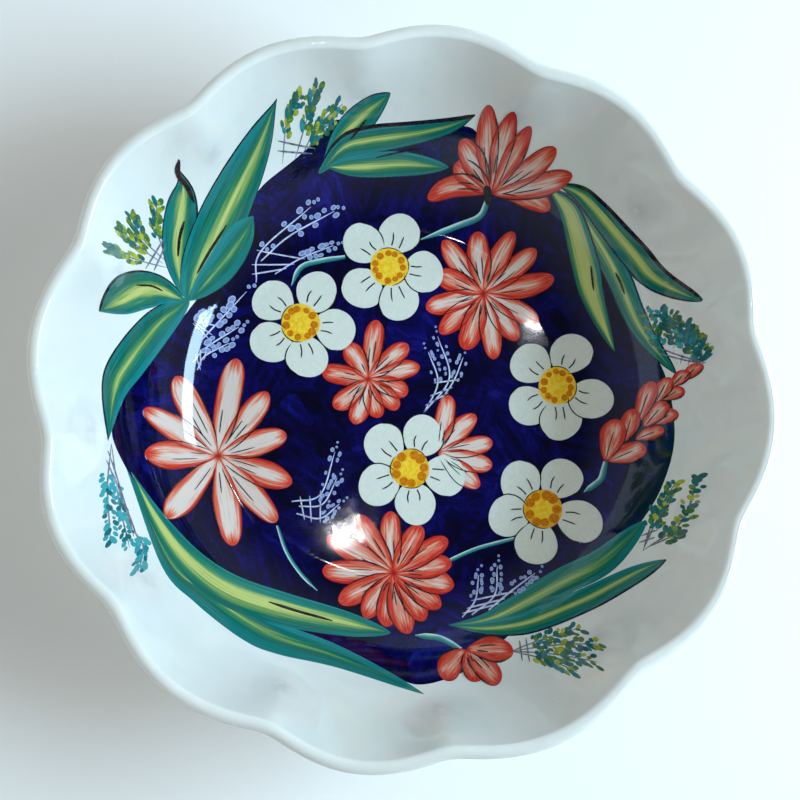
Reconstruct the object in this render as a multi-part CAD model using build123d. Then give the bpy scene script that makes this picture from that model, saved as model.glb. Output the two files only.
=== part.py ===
from build123d import *
import os
from math import atan2, cos, degrees, hypot, pi, radians, sin, sqrt

# Scalloped serving bowl. Millimetres, +Z up, origin at the centre of the circle that the foot stands on.
# The clay is one pressed shell on a luted foot ring, under three separate coats of glaze.

# ---- driving dimensions ----
RIM_RADIUS = 140.0  # to the crown of a lobe, over the glaze
FOOT_HEIGHT = 7.5
WALL = 5.5  # clay with the glaze on both of its faces
GLAZE = 0.35  # one fired coat
FLOOR_RADIUS = 72.0  # the flat of the floor, where the wall starts to curve up
WALL_RISE = 70.0  # from the floor to the inner edge of the lip

# ---- scalloped rim ----
# Directions of the notches between the lobes, in degrees. They are pressed by hand, so they are uneven.
NOTCH_ANGLES = (10, 39, 68, 98, 129, 157, 188, 216, 247, 276, 309, 338)
NOTCH_DEPTH = 5.2
NOTCH_SOFTNESS = 0.22  # 0 is a sharp cusp
FLUTE_START = 42.0  # height where the notches begin to show in the wall
FLUTE_FULL = 80.0  # height where they have their full depth
POINTS_PER_LOBE = 10

# ---- foot ring ----
FOOT_TOP_OUTER = 60.0
FOOT_FACE_OUTER = 58.0
FOOT_FACE_INNER = 53.0
FOOT_TOP_INNER = 50.5
FOOT_EDGE_ROUND = 1.0
BARE_BAND = 1.8  # the glaze is wiped off the foot up to this height

# ---- how finely the wall's curve is followed ----
WALL_SECTIONS = 9
LIP_SECTIONS = 4
REACH_ROUNDS = 20  # enough for the wall's reach and its lean to settle each other

# ---- hand-painted decoration: a coat of colour on the inside glaze ----
# Places are in plan, seen from above. A petal is (direction in degrees, length from the bloom's centre).
PAINT = 0.15
SMALLEST_ISLAND = 25.0  # a patch of ground between petals smaller than this, in square mm, is left out
GROUND_OUTLINE = (
    (64, 90), (50, 97), (36, 105), (27, 112), (10, 111), (-10, 108), (-21, 106), (-26, 113), (-34, 107),
    (-43, 100), (-57, 89), (-63, 80), (-68, 68), (-75, 56), (-82, 46), (-91, 33), (-98, 23), (-107, 8),
    (-112, -5), (-114, -15), (-109, -28), (-98, -47), (-86, -63), (-68, -77), (-50, -88), (-36, -98),
    (-20, -104), (-4, -110), (6, -113), (18, -111), (30, -106), (41, -98), (52, -89), (66, -78),
    (76, -70), (87, -62), (98, -50), (107, -34), (112, -14), (110, 10), (101, 32), (92, 52), (84, 66),
    (74, 80),
)
# Each leaf is (its width, the share of its length where it is widest, its middle line from base to tip).
LEAVES = (
    (11.5, 0.42, ((-89, 43), (-91, 58), (-89, 71), (-87, 80), (-88, 86))),
    (17, 0.34, ((-88, 42), (-80, 60), (-70, 81), (-58, 102), (-51, 115))),
    (12, 0.45, ((-87, 42), (-75, 56), (-66, 70), (-61, 78))),
    (13, 0.45, ((-89, 42), (-98, 44), (-105, 42), (-112, 36), (-118, 31))),
    (12, 0.38, ((-87, 43), (-99, 30), (-110, 12), (-114, 0), (-115, -18))),
    (9, 0.5, ((-32, 100), (-24, 109), (-15, 115), (-6, 121))),
    (8, 0.4, ((-34, 96), (-24, 105), (-13, 108), (1, 110), (20, 112.5), (29, 115))),
    (8.5, 0.58, ((-31, 98.5), (-20, 99.5), (0, 101), (21, 100))),
    (9.5, 0.55, ((62, 90), (72, 79), (80, 59), (84, 46), (93, 23))),
    (7.5, 0.55, ((63, 90), (75, 79), (90, 57), (101, 32), (113, 11))),
    (7.5, 0.6, ((64, 91), (76, 84), (94, 63), (104, 50), (118, 38))),
    (12.5, 0.6, ((-107, -30), (-97, -48), (-84, -65), (-68, -77), (-46, -85), (-22, -91), (-3, -95))),
    (11, 0.55, ((-109, -28), (-92, -64), (-78, -77), (-60, -90), (-47, -96), (-25, -103), (8, -116))),
    (10, 0.65, ((21, -92), (35, -90), (46, -86), (68, -74), (84, -65), (100, -49))),
    (8, 0.55, ((21, -92), (33, -93), (44, -92), (56, -89), (76, -80), (93, -70), (103, -64))),
)
LEAF_FULLNESS = 1.8  # below 2 the sides bulge, above 2 they draw in towards both ends
LEAF_STEPS = 8
PETAL_WIDTH = 9.5
BLOOMS = (
    ((38, 49), ((127, 29), (96, 27), (65, 29), (40, 29), (12, 31), (-27, 27), (-54, 25), (-81, 29),
                (-109, 26), (-137, 26), (-165, 26), (158, 22))),
    ((-12, 11), ((82, 26), (42, 23), (15, 23), (-18, 18), (-44, 18), (-74, 17), (-107, 20), (-140, 19),
                 (170, 20), (120, 18))),
    ((-75, -22), ((80, 42), (53, 34), (18, 30), (-20, 33), (-48, 37), (-79, 38), (-126, 32), (180, 28),
                  (148, 34), (118, 37))),
    ((-1, -71), ((93, 26), (123, 29), (152, 32), (178, 30), (-153, 26), (-125, 22), (-100, 22), (-78, 25),
                 (-57, 23), (-36, 24), (-12, 26), (10, 25), (32, 27), (60, 23))),
    ((18, -20), ((79, 25), (45, 23), (11, 24), (-14, 24), (-40, 23))),
    ((40, 90), ((105, 30), (84, 24), (61, 22), (27, 25), (4, 30), (-18, 25), (-179, 27), (147, 20),
                (130, 24))),
    ((89, -24), ((44, 46), (62, 34), (28, 33), (75, 20), (18, 18))),
    ((27, -101), ((-125, 14), (-80, 12), (-35, 14), (-8, 17))),
)
DAISY_PETAL = 8.4  # radius
DAISY_DISC = 8.2
DAISIES = (
    ((-3, 60), (73, 138, -8, 219, -74)), ((-41, 35), (63, 141, 214, -79, -10)),
    ((70, 9), (67, 140, 215, -86, -23)), ((6, -27), (68, 137, 207, -82, -11)),
    ((63, -44), (58, 129, 191, -104, -20)),
)
DAISY_REACH = 14.5  # from the middle of a daisy to the middle of each petal

LIP_RADIUS = WALL / 2
FLOOR_TOP = FOOT_HEIGHT - GLAZE + WALL


def wall_reach():
    """Plan distance from the edge of the floor to the lip's inner edge. The lip ends at the rim radius."""
    reach = RIM_RADIUS - FLOOR_RADIUS - WALL
    for _ in range(REACH_ROUNDS):
        steepness = 2 * WALL_RISE / reach
        lean = steepness / hypot(1, steepness)
        reach = RIM_RADIUS - LIP_RADIUS * (1 + lean) - FLOOR_RADIUS
    return reach


REACH = wall_reach()


def wall_slope(radius):
    """Rise over run of the inner wall, a parabola that is level where it leaves the floor."""
    return 2 * WALL_RISE * (radius - FLOOR_RADIUS) / REACH**2


def wall_point(radius, depth):
    """A point of the wall's section, depth below the glazed inner face and square to it."""
    climb = WALL_RISE * ((radius - FLOOR_RADIUS) / REACH) ** 2
    slope = wall_slope(radius)
    length = hypot(1, slope)
    return radius + depth * slope / length, FLOOR_TOP + climb - depth / length


def lip_points(skin, outward):
    """The lip's round from the top of the wall to its crest, skin below the glaze, on one side."""
    slope = wall_slope(FLOOR_RADIUS + REACH)
    side = 1 if outward else -1
    first_turn = degrees(atan2(-side, side * slope))
    centre_r, centre_z = wall_point(FLOOR_RADIUS + REACH, LIP_RADIUS)
    reach = LIP_RADIUS - skin
    points = []
    for step in range(1, LIP_SECTIONS + 1):
        turn = radians(first_turn + (90 - first_turn) * step / LIP_SECTIONS)
        points.append((centre_r + reach * cos(turn), centre_z + reach * sin(turn)))
    return points


def flute(height):
    """How deep the notches are pressed at this height."""
    share = min(max((height - FLUTE_START) / (FLUTE_FULL - FLUTE_START), 0), 1)
    return NOTCH_DEPTH * share * share * (3 - 2 * share)


def notch_share(phase):
    """1 in a notch, where phase is 0 or 1, falling to 0 on the crown of the lobe between them."""
    ridge = sqrt(sin(pi * phase) ** 2 + NOTCH_SOFTNESS**2)
    top = sqrt(1 + NOTCH_SOFTNESS**2)
    return (top - ridge) / (top - NOTCH_SOFTNESS)


def section(radius, height):
    """The level section of the bowl at one height: a circle pressed in at each notch."""
    points = []
    for start, stop in zip(NOTCH_ANGLES, NOTCH_ANGLES[1:] + (NOTCH_ANGLES[0] + 360,)):
        for step in range(POINTS_PER_LOBE):
            phase = step / POINTS_PER_LOBE
            turn = radians(start + (stop - start) * phase)
            reach = radius - flute(height) * notch_share(phase)
            points.append((reach * cos(turn), reach * sin(turn), height))
    spacing = [float(i) for i in range(len(points) + 1)]
    return Face(Wire([Edge.make_spline(points, periodic=True, parameters=spacing)]))


def skin_faces(skin, outward):
    """The floor and wall faces of one side of the bowl, skin below its glaze, and the line of its crest."""
    depth = WALL - skin if outward else skin
    profile = []
    for step in range(WALL_SECTIONS + 1):
        profile.append(wall_point(FLOOR_RADIUS + REACH * step / WALL_SECTIONS, depth))
    profile += lip_points(skin, outward)
    space = Solid.make_loft([section(radius, height).outer_wire() for radius, height in profile])
    *kept, lid = sorted(space.faces(), key=lambda face: face.bounding_box().min.Z)
    return kept, lid.outer_wire().edges()[0]


def shell_between(first, second):
    """The closed solid between two skins, each given as (skin, outward), joined along their crests."""
    first_faces, first_crest = skin_faces(*first)
    second_faces, second_crest = skin_faces(*second)
    joint = Face.make_surface_from_curves(first_crest, second_crest)
    return Solid(Shell(first_faces + second_faces + [joint]))


def turned(*corners):
    """A ring turned about the bowl's axis from the corners of its section."""
    outline = Polyline(*[(radius, 0, height) for radius, height in corners], close=True)
    return revolve(Face(Wire(outline.edges())), Axis.Z)


def clay_body():
    inner_faces, _ = skin_faces(GLAZE, False)
    outer_faces, _ = skin_faces(GLAZE, True)
    return Solid(Shell(inner_faces + outer_faces))


def foot_ring():
    ring = turned(
        (FOOT_FACE_INNER, 0),
        (FOOT_FACE_OUTER, 0),
        (FOOT_TOP_OUTER, FOOT_HEIGHT),
        (FOOT_TOP_INNER, FOOT_HEIGHT),
    )
    return fillet(ring.edges().group_by(Axis.Z)[0], FOOT_EDGE_ROUND)


def foot_side(height, outward):
    """Radius of the foot's sloping outer or inner side at one height."""
    low, high = (FOOT_FACE_OUTER, FOOT_TOP_OUTER) if outward else (FOOT_FACE_INNER, FOOT_TOP_INNER)
    return low + (high - low) * height / FOOT_HEIGHT


def inner_glaze():
    return shell_between((GLAZE, False), (0, False))


def outer_glaze():
    """The outside coat: under the wall, down the outside of the foot, and stopped above its bare edge."""
    coat = shell_between((GLAZE, True), (0, True))
    cutter_height = 4 * GLAZE  # through the coat, which is GLAZE thick
    under_floor = Pos(0, 0, FOOT_HEIGHT) * Cylinder(FOOT_TOP_OUTER, cutter_height)
    band = turned(
        (foot_side(BARE_BAND, True), BARE_BAND),
        (foot_side(BARE_BAND, True) + GLAZE, BARE_BAND + GLAZE),
        (FOOT_TOP_OUTER + GLAZE, FOOT_HEIGHT),
        (FOOT_TOP_OUTER, FOOT_HEIGHT),
    )
    return coat - under_floor + band


def base_glaze():
    """The coat on the underside inside the foot ring, which the bare edge parts from the outside coat."""
    return turned(
        (0, FOOT_HEIGHT),
        (0, FOOT_HEIGHT - GLAZE),
        (FOOT_TOP_INNER - GLAZE, FOOT_HEIGHT - GLAZE),
        (foot_side(BARE_BAND, False) - GLAZE, BARE_BAND + GLAZE),
        (foot_side(BARE_BAND, False), BARE_BAND),
        (FOOT_TOP_INNER, FOOT_HEIGHT),
    )


def leaf_shape(width, widest, spine):
    """A leaf in plan: the curve of each side, from its base to its tip, about its middle line."""
    middle = Edge.make_spline([(x, y, 0) for x, y in spine])
    rise, fall = LEAF_FULLNESS * widest, LEAF_FULLNESS * (1 - widest)
    sides = []
    for side in (1, -1):
        points = []
        for step in range(LEAF_STEPS + 1):
            share = step / LEAF_STEPS
            swell = (share / widest) ** rise * ((1 - share) / (1 - widest)) ** fall
            along = middle % share
            points.append(middle @ share + Vector(-along.Y, along.X) * (side * swell * width / 2))
        sides.append(Edge.make_spline(points))
    return make_face(sides)


def petal_shape(centre, turn, length):
    return Pos(*centre) * Rot(0, 0, turn) * Pos(length / 2, 0) * Ellipse(length / 2, PETAL_WIDTH / 2)


def painted_shapes():
    """The coats of colour in plan. What was painted first gives way to what lies over it."""
    discs = Sketch() + [Pos(*centre) * Circle(DAISY_DISC) for centre, _ in DAISIES]
    white = Sketch()
    for centre, turns in DAISIES:
        white += [Pos(*centre) * Rot(0, 0, turn) * Pos(DAISY_REACH, 0) * Circle(DAISY_PETAL) for turn in turns]
    white -= discs
    coral = Sketch()
    for centre, petals in BLOOMS:
        coral += [petal_shape(centre, turn, length) for turn, length in petals]
    coral -= white + discs
    green = Sketch() + [leaf_shape(*leaf) for leaf in LEAVES]
    green -= coral + white + discs
    outline = Edge.make_spline([(x, y, 0) for x, y in GROUND_OUTLINE], periodic=True)
    cobalt = make_face(outline) - green - coral - white - discs
    return {
        "cobalt_ground": [face for face in cobalt.faces() if face.area > SMALLEST_ISLAND],
        "green_leaves": green.faces(),
        "coral_blooms": coral.faces(),
        "white_daisies": white.faces(),
        "yellow_daisy_discs": discs.faces(),
    }


def painted_coat(faces, coat):
    """One colour: the parts of the thin coat over the glaze that lie above its faces in plan."""
    return Compound([coat & extrude(face, amount=FLOOR_TOP + WALL_RISE, dir=(0, 0, 1)) for face in faces])


def main():
    parts = {
        "clay_body": clay_body(),
        "foot_ring": foot_ring(),
        "inner_glaze": inner_glaze(),
        "outer_glaze": outer_glaze(),
        "base_glaze": base_glaze(),
    }
    coat = shell_between((0, False), (-PAINT, False))
    for name, faces in painted_shapes().items():
        parts[name] = painted_coat(faces, coat)
    os.makedirs("parts", exist_ok=True)
    for name, part in parts.items():
        export_step(part, f"parts/{name}.step")


main()
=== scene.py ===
from math import atan2, cos, exp, hypot, pi, radians, sin, sqrt

import bpy
import numpy as np
from mathutils import Matrix, Vector

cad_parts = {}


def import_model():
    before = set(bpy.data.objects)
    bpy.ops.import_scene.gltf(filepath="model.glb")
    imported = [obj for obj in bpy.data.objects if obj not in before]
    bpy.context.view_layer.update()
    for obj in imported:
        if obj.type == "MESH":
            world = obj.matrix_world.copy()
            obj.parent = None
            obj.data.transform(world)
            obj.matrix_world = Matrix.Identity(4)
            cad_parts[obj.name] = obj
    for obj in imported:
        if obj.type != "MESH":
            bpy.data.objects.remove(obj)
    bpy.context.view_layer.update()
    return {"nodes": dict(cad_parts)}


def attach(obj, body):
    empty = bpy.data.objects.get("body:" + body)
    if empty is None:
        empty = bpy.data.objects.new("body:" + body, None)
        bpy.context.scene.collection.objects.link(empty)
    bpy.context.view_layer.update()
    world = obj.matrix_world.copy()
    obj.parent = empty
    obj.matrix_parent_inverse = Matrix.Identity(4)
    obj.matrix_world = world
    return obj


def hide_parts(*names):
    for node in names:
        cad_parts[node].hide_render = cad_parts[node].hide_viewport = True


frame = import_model()

# Lengths below are millimetres, as in the CAD part. mesh_object turns them into metres.
MM = 0.001

# ---- the bowl's own dimensions, the same as the CAD part's ----
RIM_RADIUS = 140.0
FOOT_HEIGHT = 7.5
WALL = 5.5
GLAZE = 0.35
FLOOR_RADIUS = 72.0
WALL_RISE = 70.0
NOTCH_ANGLES = (10, 39, 68, 98, 129, 157, 188, 216, 247, 276, 309, 338)
NOTCH_DEPTH = 5.2
NOTCH_SOFTNESS = 0.22
FLUTE_START = 42.0
FLUTE_FULL = 80.0
FOOT_TOP_OUTER = 60.0
FOOT_FACE_OUTER = 58.0
FOOT_FACE_INNER = 53.0
FOOT_TOP_INNER = 50.5
BARE_BAND = 1.8
LIP_RADIUS = WALL / 2
FLOOR_TOP = FOOT_HEIGHT - GLAZE + WALL

# ---- how finely the glaze is meshed ----
AROUND = 600
FLOOR_STEPS = 16
WALL_STEPS = 30
INNER_LIP_STEPS = 7
OUTER_LIP_STEPS = 11
CORNER_STEPS = 8
ROLL_STEPS = 5

# ---- how the glaze ran before it set, the shade painted below the notches, and how it bends light ----
POOL_RADIUS = 2.0  # it pools in the corner where the foot meets the floor
RUN_HEIGHT = 74.0  # the outer coat gathers a little under the lip
RUN_SPREAD = 8.0
RUN_DEPTH = 0.38
NOTCH_SHADE_HEIGHT = 58.0  # painted shade inside the bowl where each notch begins, for the shadow in its dent
NOTCH_SHADE_SPREAD = 4.0
NOTCH_SHADE_SHARPNESS = 8
GLAZE_IOR = 1.52

# ---- how finely the colours are meshed: a patch's sides and rings, or a stroke's rows and columns ----
GROUND_MESH = (480, 72)
DAISY_MESH = (56, 9)
DISC_MESH = (48, 8)
DOT_MESH = (14, 2)
LEAF_MESH = (56, 15)
PETAL_MESH = (26, 9)
BUD_MESH = (20, 7)
TAPER_STEEPNESS = 5  # a line is at its full width from a fifth of the way in
STEM_PLACES = 41  # along a sprig's stem, where its dots or leaves may sit

# ---- height of each coat of colour over the glaze; later strokes lie on earlier ones ----
SUNK = 0.1
GROUND_LIFT = 0.03
LEAF_LIFT = 0.05
LEAF_RISE = 0.03
STEM_LIFT = 0.19
CORAL_LIFT = 0.20
STROKE_RISE = 0.012
DAISY_LIFT = 0.38
DISC_LIFT = 0.46
LINER_LIFT = 0.49

# Each stroke carries a tint: its number, which varies its streaks, and a share of 1, such as how pale it is.
SHARE_LIMIT = 0.98  # keeps a full share out of the next number

# ---- what is painted, in plan ----
GROUND_CENTRE = (-2, -4)
GROUND_OUTLINE = (
    (64, 90), (50, 97), (36, 105), (27, 112), (10, 111), (-10, 108), (-21, 106), (-26, 113), (-34, 107),
    (-43, 100), (-57, 89), (-63, 80), (-68, 68), (-75, 56), (-82, 46), (-91, 33), (-98, 23), (-107, 8),
    (-112, -5), (-114, -15), (-109, -28), (-98, -47), (-86, -63), (-68, -77), (-50, -88), (-36, -98),
    (-20, -104), (-4, -110), (6, -113), (18, -111), (30, -106), (41, -98), (52, -89), (66, -78),
    (76, -70), (87, -62), (98, -50), (107, -34), (112, -14), (110, 10), (101, 32), (92, 52), (84, 66),
    (74, 80),
)
# A leaf is (its width, the share of its length where it is widest, how yellow its middle is, the width of
# the dark line along its left and its right side, its middle line from base to tip).
LEAVES = (
    (11.5, 0.42, 0.45, 0.3, 0.7, ((-89, 43), (-91, 58), (-89, 71), (-87, 80), (-88, 86))),
    (17, 0.34, 0.35, 0.4, 0.3, ((-88, 42), (-80, 60), (-70, 81), (-58, 102), (-51, 115))),
    (12, 0.45, 0.1, 0, 0.2, ((-87, 42), (-75, 56), (-66, 70), (-61, 78))),
    (13, 0.45, 0.5, 0, 0.6, ((-89, 42), (-98, 44), (-105, 42), (-112, 36), (-118, 31))),
    (12, 0.38, 0.2, 0, 0.5, ((-87, 43), (-99, 30), (-110, 12), (-114, 0), (-115, -18))),
    (9, 0.5, 0.4, 0.3, 0.3, ((-32, 100), (-24, 109), (-15, 115), (-6, 121))),
    (8, 0.4, 0.3, 1.1, 0.4, ((-34, 96), (-24, 105), (-13, 108), (1, 110), (20, 112.5), (29, 115))),
    (8.5, 0.58, 0.4, 0, 0.3, ((-31, 98.5), (-20, 99.5), (0, 101), (21, 100))),
    (7.5, 0.6, 0.5, 1.0, 0.6, ((64, 91), (76, 84), (94, 63), (104, 50), (118, 38))),
    (7.5, 0.55, 0.45, 0.5, 0.5, ((63, 90), (75, 79), (90, 57), (101, 32), (113, 11))),
    (9.5, 0.55, 0.95, 0.6, 0, ((62, 90), (72, 79), (80, 59), (84, 46), (93, 23))),
    (11, 0.55, 0.15, 0, 0, ((-109, -28), (-92, -64), (-78, -77), (-60, -90), (-47, -96), (-25, -103),
        (8, -116))),
    (12.5, 0.6, 0.65, 0, 0, ((-107, -30), (-97, -48), (-84, -65), (-68, -77), (-46, -85), (-22, -91),
        (-3, -95))),
    (8, 0.55, 0.35, 0, 0.5, ((21, -92), (33, -93), (44, -92), (56, -89), (76, -80), (93, -70),
        (103, -64))),
    (10, 0.65, 0.35, 0, 0, ((21, -92), (35, -90), (46, -86), (68, -74), (84, -65), (100, -49))),
)
LEAF_FULLNESS = 1.8  # below 2 the sides bulge, above 2 they draw in towards both ends

# A bloom is (its middle, how pale it is, the width of its petals, its petals as (direction, length, and,
# where one curves, how far its middle bows to the left)).
BLOOMS = (
    ((38, 49), 0.2, 9.8, ((127, 29), (96, 27), (65, 29), (40, 29), (12, 31), (-27, 27), (-54, 25),
        (-81, 29), (-109, 26), (-137, 26), (-165, 26), (158, 22))),
    ((-12, 11), 0.2, 8.6, ((82, 26), (42, 23), (15, 23), (-18, 18), (-44, 18), (-74, 17), (-107, 20),
        (-140, 19), (170, 20), (120, 18))),
    ((-75, -22), 0.62, 10.8, ((80, 42), (53, 34), (18, 30), (-20, 33), (-48, 37), (-79, 38), (-126, 32),
        (180, 28), (148, 34), (118, 37))),
    ((-1, -71), 0.05, 9.8, ((93, 26), (123, 29), (152, 32), (178, 30), (-153, 26), (-125, 22), (-100, 22),
        (-78, 25), (-57, 23), (-36, 24), (-12, 26), (10, 25), (32, 27), (60, 23))),
    ((18, -20), 0.6, 8.5, ((79, 25), (45, 23), (11, 24), (-14, 24), (-40, 23))),
    ((40, 90), 0.15, 8.8, ((-18, 25, 3), (-179, 27, -4), (147, 20), (130, 24), (105, 28), (84, 24),
        (61, 22), (27, 25), (4, 30))),
    ((27, -101), 0.05, 9.0, ((-140, 15), (-80, 11), (-45, 15), (2, 18))),
)
# The spike of small buds at the right: each is (base, tip, width).
SPIKE = (
    ((115, 8), (119, 14), 4.5), ((112, 6), (116, 12), 5), ((109, 1), (115, 5), 5.5),
    ((107, 0), (111, 10), 5.5), ((106, -9), (113, -4), 6), ((103, -10), (110, 0), 6.5),
    ((101, -8), (106, 9), 6.5), ((100, -15), (109, -11), 5.5), ((96, -16), (100, -2), 7),
    ((90, -24), (103, -18), 8.5), ((89, -24), (94, -6), 9.5),
)

DAISY_PETAL = 9.0  # a petal's radius
DAISY_DISC = 8.2  # the disc's radius
DAISY_REACH = 14.8  # from the disc's middle to a petal's
# A daisy is (its middle, how rusty its disc is, the directions of its petals).
DAISIES = (
    ((-3, 60), 0.0, (73, 138, -8, 219, -74)), ((-41, 35), 0.15, (63, 141, 214, -79, -10)),
    ((70, 9), 0.1, (67, 140, 215, -86, -23)), ((6, -27), 0.8, (68, 137, 207, -82, -11)),
    ((63, -44), 1.0, (58, 129, 191, -104, -20)),
)

# Free strokes of the liner brush, as (points, width): a curled leaf tip, leaf ribs, the top bloom's calyx.
LINER_STROKES = (
    (((-84, 78), (-86, 82), (-89, 85), (-88, 89)), 1.6), (((-91, 58), (-90, 65), (-88, 71)), 0.8),
    (((-84, 53), (-79, 62), (-72, 73)), 0.8), (((-106, 44), (-101, 45), (-97, 44)), 0.7),
    (((82, 59), (83, 54), (84, 49)), 0.6), (((91, 55), (93, 51), (95, 46)), 0.6),
    (((-53, -82), (-41, -86), (-27, -90)), 0.9), (((37, 93), (38.5, 90), (39, 86)), 3.0),
    (((-15, 114), (-18, 111), (-21, 108)), 0.5), (((-10, 103), (0, 105), (10, 106)), 0.4),
)
# Stems between the flowers: points on the way, and the width at the thick end, which is the last point.
STEMS = (
    (((-45, 51), (-41, 59), (-33, 62), (-22, 64)), 2.2), (((10, 72), (26, 78), (36, 82), (39, 90)), 2.6),
    (((80, -37), (84, -34), (87, -31), (89, -24)), 2.3), (((18, -68), (34, -61), (53, -56)), 1.6),
    (((-33, -78), (-40, -71), (-46, -62), (-50, -51)), 1.4), (((7, -96), (17, -97), (25, -101)), 2.2),
)
# Sprigs on the blue: (how big its dots are, its stems as (base, bend, tip)).
BLUE_SPRIGS = (
    (1.1, (((-60, 52), (-58, 65), (-37, 84)), ((-58, 61), (-46, 72), (-27, 83)),
        ((-52, 56), (-41, 63), (-27, 69)))),
    (1.2, (((-85, 31), (-83, 34), (-80, 38)), ((-82, 27), (-77, 33), (-64, 48)))),
    (1.1, (((-86, 17), (-80, 24), (-67, 33)), ((-84, 14), (-81, 20), (-71, 26)))),
    (0.65, (((12, -3), (18, 10), (14, 23)), ((12, -3), (23, 12), (18, 30)),
        ((19, 2), (25, 11), (29, 21)))),
    (0.75, (((-44, -41), (-32, -38), (-26, -20)), ((-41, -43), (-31, -42), (-25, -31)),
        ((-42, -46), (-32, -48), (-24, -42)))),
    (0.8, (((27, -89), (33, -82), (35, -72)), ((31, -88), (41, -80), (43, -68)),
        ((38, -86), (47, -79), (58, -71)))),
)
# Sprigs on the white: (how green it is: 0 teal to 1 yellow-green, its stems).
WHITE_SPRIGS = (
    (0.55, (((-49, 97), (-47, 110), (-41, 118)), ((-44, 99), (-39, 112), (-35, 121)),
        ((-42, 99), (-35, 110), (-25, 117)), ((-41, 99), (-35, 108), (-27, 113)))),
    (0.7, (((-95, 53), (-107, 53), (-114, 53)), ((-96, 54), (-105, 58), (-110, 62)),
        ((-95, 55), (-103, 61), (-106, 68)), ((-95, 56), (-98, 66), (-97, 75)))),
    (0.0, (((-114, -19), (-114, -37), (-111, -57)), ((-114, -19), (-110, -42), (-105, -59)),
        ((-107, -50), (-101, -58), (-101, -68)))),
    (0.45, (((112, 15), (106, 28), (102, 39)), ((113, 15), (111, 27), (107, 38)),
        ((114, 15), (115, 25), (110, 36)), ((116, 14), (117, 21), (114, 31)),
        ((117, 14), (119, 17), (117, 25)))),
    (0.65, (((97, -61), (103, -47), (111, -33)), ((97, -61), (109, -50), (117, -31)),
        ((98, -60), (106, -55), (108, -52)), ((97, -61), (104, -47), (107, -40)))),
    (0.6, (((44, -101), (57, -96), (71, -91)), ((44, -101), (60, -98), (75, -96)),
        ((44, -101), (58, -101), (72, -102)), ((44, -101), (56, -103), (65, -106)))),
)

# ---- light and camera, in metres ----
# A lamp is (name, direction from the bowl, distance, size, power, colour, whether the glaze mirrors it).
LAMPS = (
    ("window", (0.78, 0.0, 0.63), 1.1, (0.52, 0.24), 9, (0.54, 0.81, 1.0), True),
    ("window_glow", (0.78, 0.02, 0.63), 1.5, (1.0, 1.0), 13, (0.82, 0.93, 0.96), False),
    ("fill", (-0.60, 0.05, 0.80), 1.8, (2.0, 2.0), 11, (0.98, 1.0, 0.94), False),
    ("ceiling_lamp", (0.03, -0.05, 0.99), 1.5, (0.032, 0.016), 0.2, (1.0, 1.0, 1.0), True),
    ("ceiling_lamp_2", (0.234, 0.180, 0.95), 1.5, (0.020, 0.014), 0.11, (1.0, 1.0, 1.0), True),
)
LAMP_AIM = (0, 0, 0.03)
# The room's glow, from the level of the bowl (0) to straight overhead (1).
SKY = (
    (0.0, (0.92, 0.93, 0.92)), (0.12, (0.45, 0.47, 0.46)), (0.5, (0.30, 0.32, 0.32)),
    (0.92, (0.05, 0.055, 0.06)),
)
SKY_STRENGTH = 0.82
CAMERA_PLACE = (-0.0424, -0.0467, 0.516)
CAMERA_AIM = (-0.00157, -0.00132, 0.05)
CAMERA_LENS = 53.43
CAMERA_SENSOR = 36.0
FLOOR_REACH = 20.0


# ======== the bowl's surface ========

def wall_reach():
    """Plan distance from the edge of the floor to the lip's inner edge."""
    reach = RIM_RADIUS - FLOOR_RADIUS - WALL
    for _ in range(20):
        steepness = 2 * WALL_RISE / reach
        reach = RIM_RADIUS - LIP_RADIUS * (1 + steepness / hypot(1, steepness)) - FLOOR_RADIUS
    return reach


REACH = wall_reach()


def flute(height):
    """How deep the notches are pressed at this height."""
    share = np.clip((height - FLUTE_START) / (FLUTE_FULL - FLUTE_START), 0, 1)
    return NOTCH_DEPTH * share * share * (3 - 2 * share)


def notch_share(turn):
    """1 in a notch, falling to 0 on the crown of a lobe, for directions in degrees."""
    starts = np.array(NOTCH_ANGLES, float)
    stops = np.append(starts[1:], starts[0] + 360)
    turn = (turn - starts[0]) % 360 + starts[0]
    lobe = np.clip(np.searchsorted(starts, turn, side="right") - 1, 0, len(starts) - 1)
    phase = (turn - starts[lobe]) / (stops[lobe] - starts[lobe])
    ridge = np.sqrt(np.sin(pi * phase) ** 2 + NOTCH_SOFTNESS**2)
    top = sqrt(1 + NOTCH_SOFTNESS**2)
    return (top - ridge) / (top - NOTCH_SOFTNESS)


def wall_height(radius):
    """Height of the glazed inner face where its circle, before the notches, has this radius."""
    return FLOOR_TOP + WALL_RISE * (np.maximum(radius - FLOOR_RADIUS, 0) / REACH) ** 2


def inside_height(x, y):
    """Height of the glazed inner face above these places in plan."""
    reach = np.hypot(x, y)
    share = notch_share(np.degrees(np.arctan2(y, x)))
    radius = reach
    for _ in range(24):
        radius = reach + flute(wall_height(radius)) * share
    return wall_height(radius)


def unit(vectors):
    return vectors / np.linalg.norm(vectors, axis=-1, keepdims=True)


def inside_normal(x, y):
    """The inner face's unit normals there."""
    step = 0.05
    run_x = (inside_height(x + step, y) - inside_height(x - step, y)) / (2 * step)
    run_y = (inside_height(x, y + step) - inside_height(x, y - step)) / (2 * step)
    return unit(np.stack([-run_x, -run_y, np.ones_like(run_x)], -1))


# ======== meshes ========

def linked(name, data):
    """An object in the scene with this mesh, light or camera."""
    made = bpy.data.objects.new(name, data)
    bpy.context.scene.collection.objects.link(made)
    return made


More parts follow.
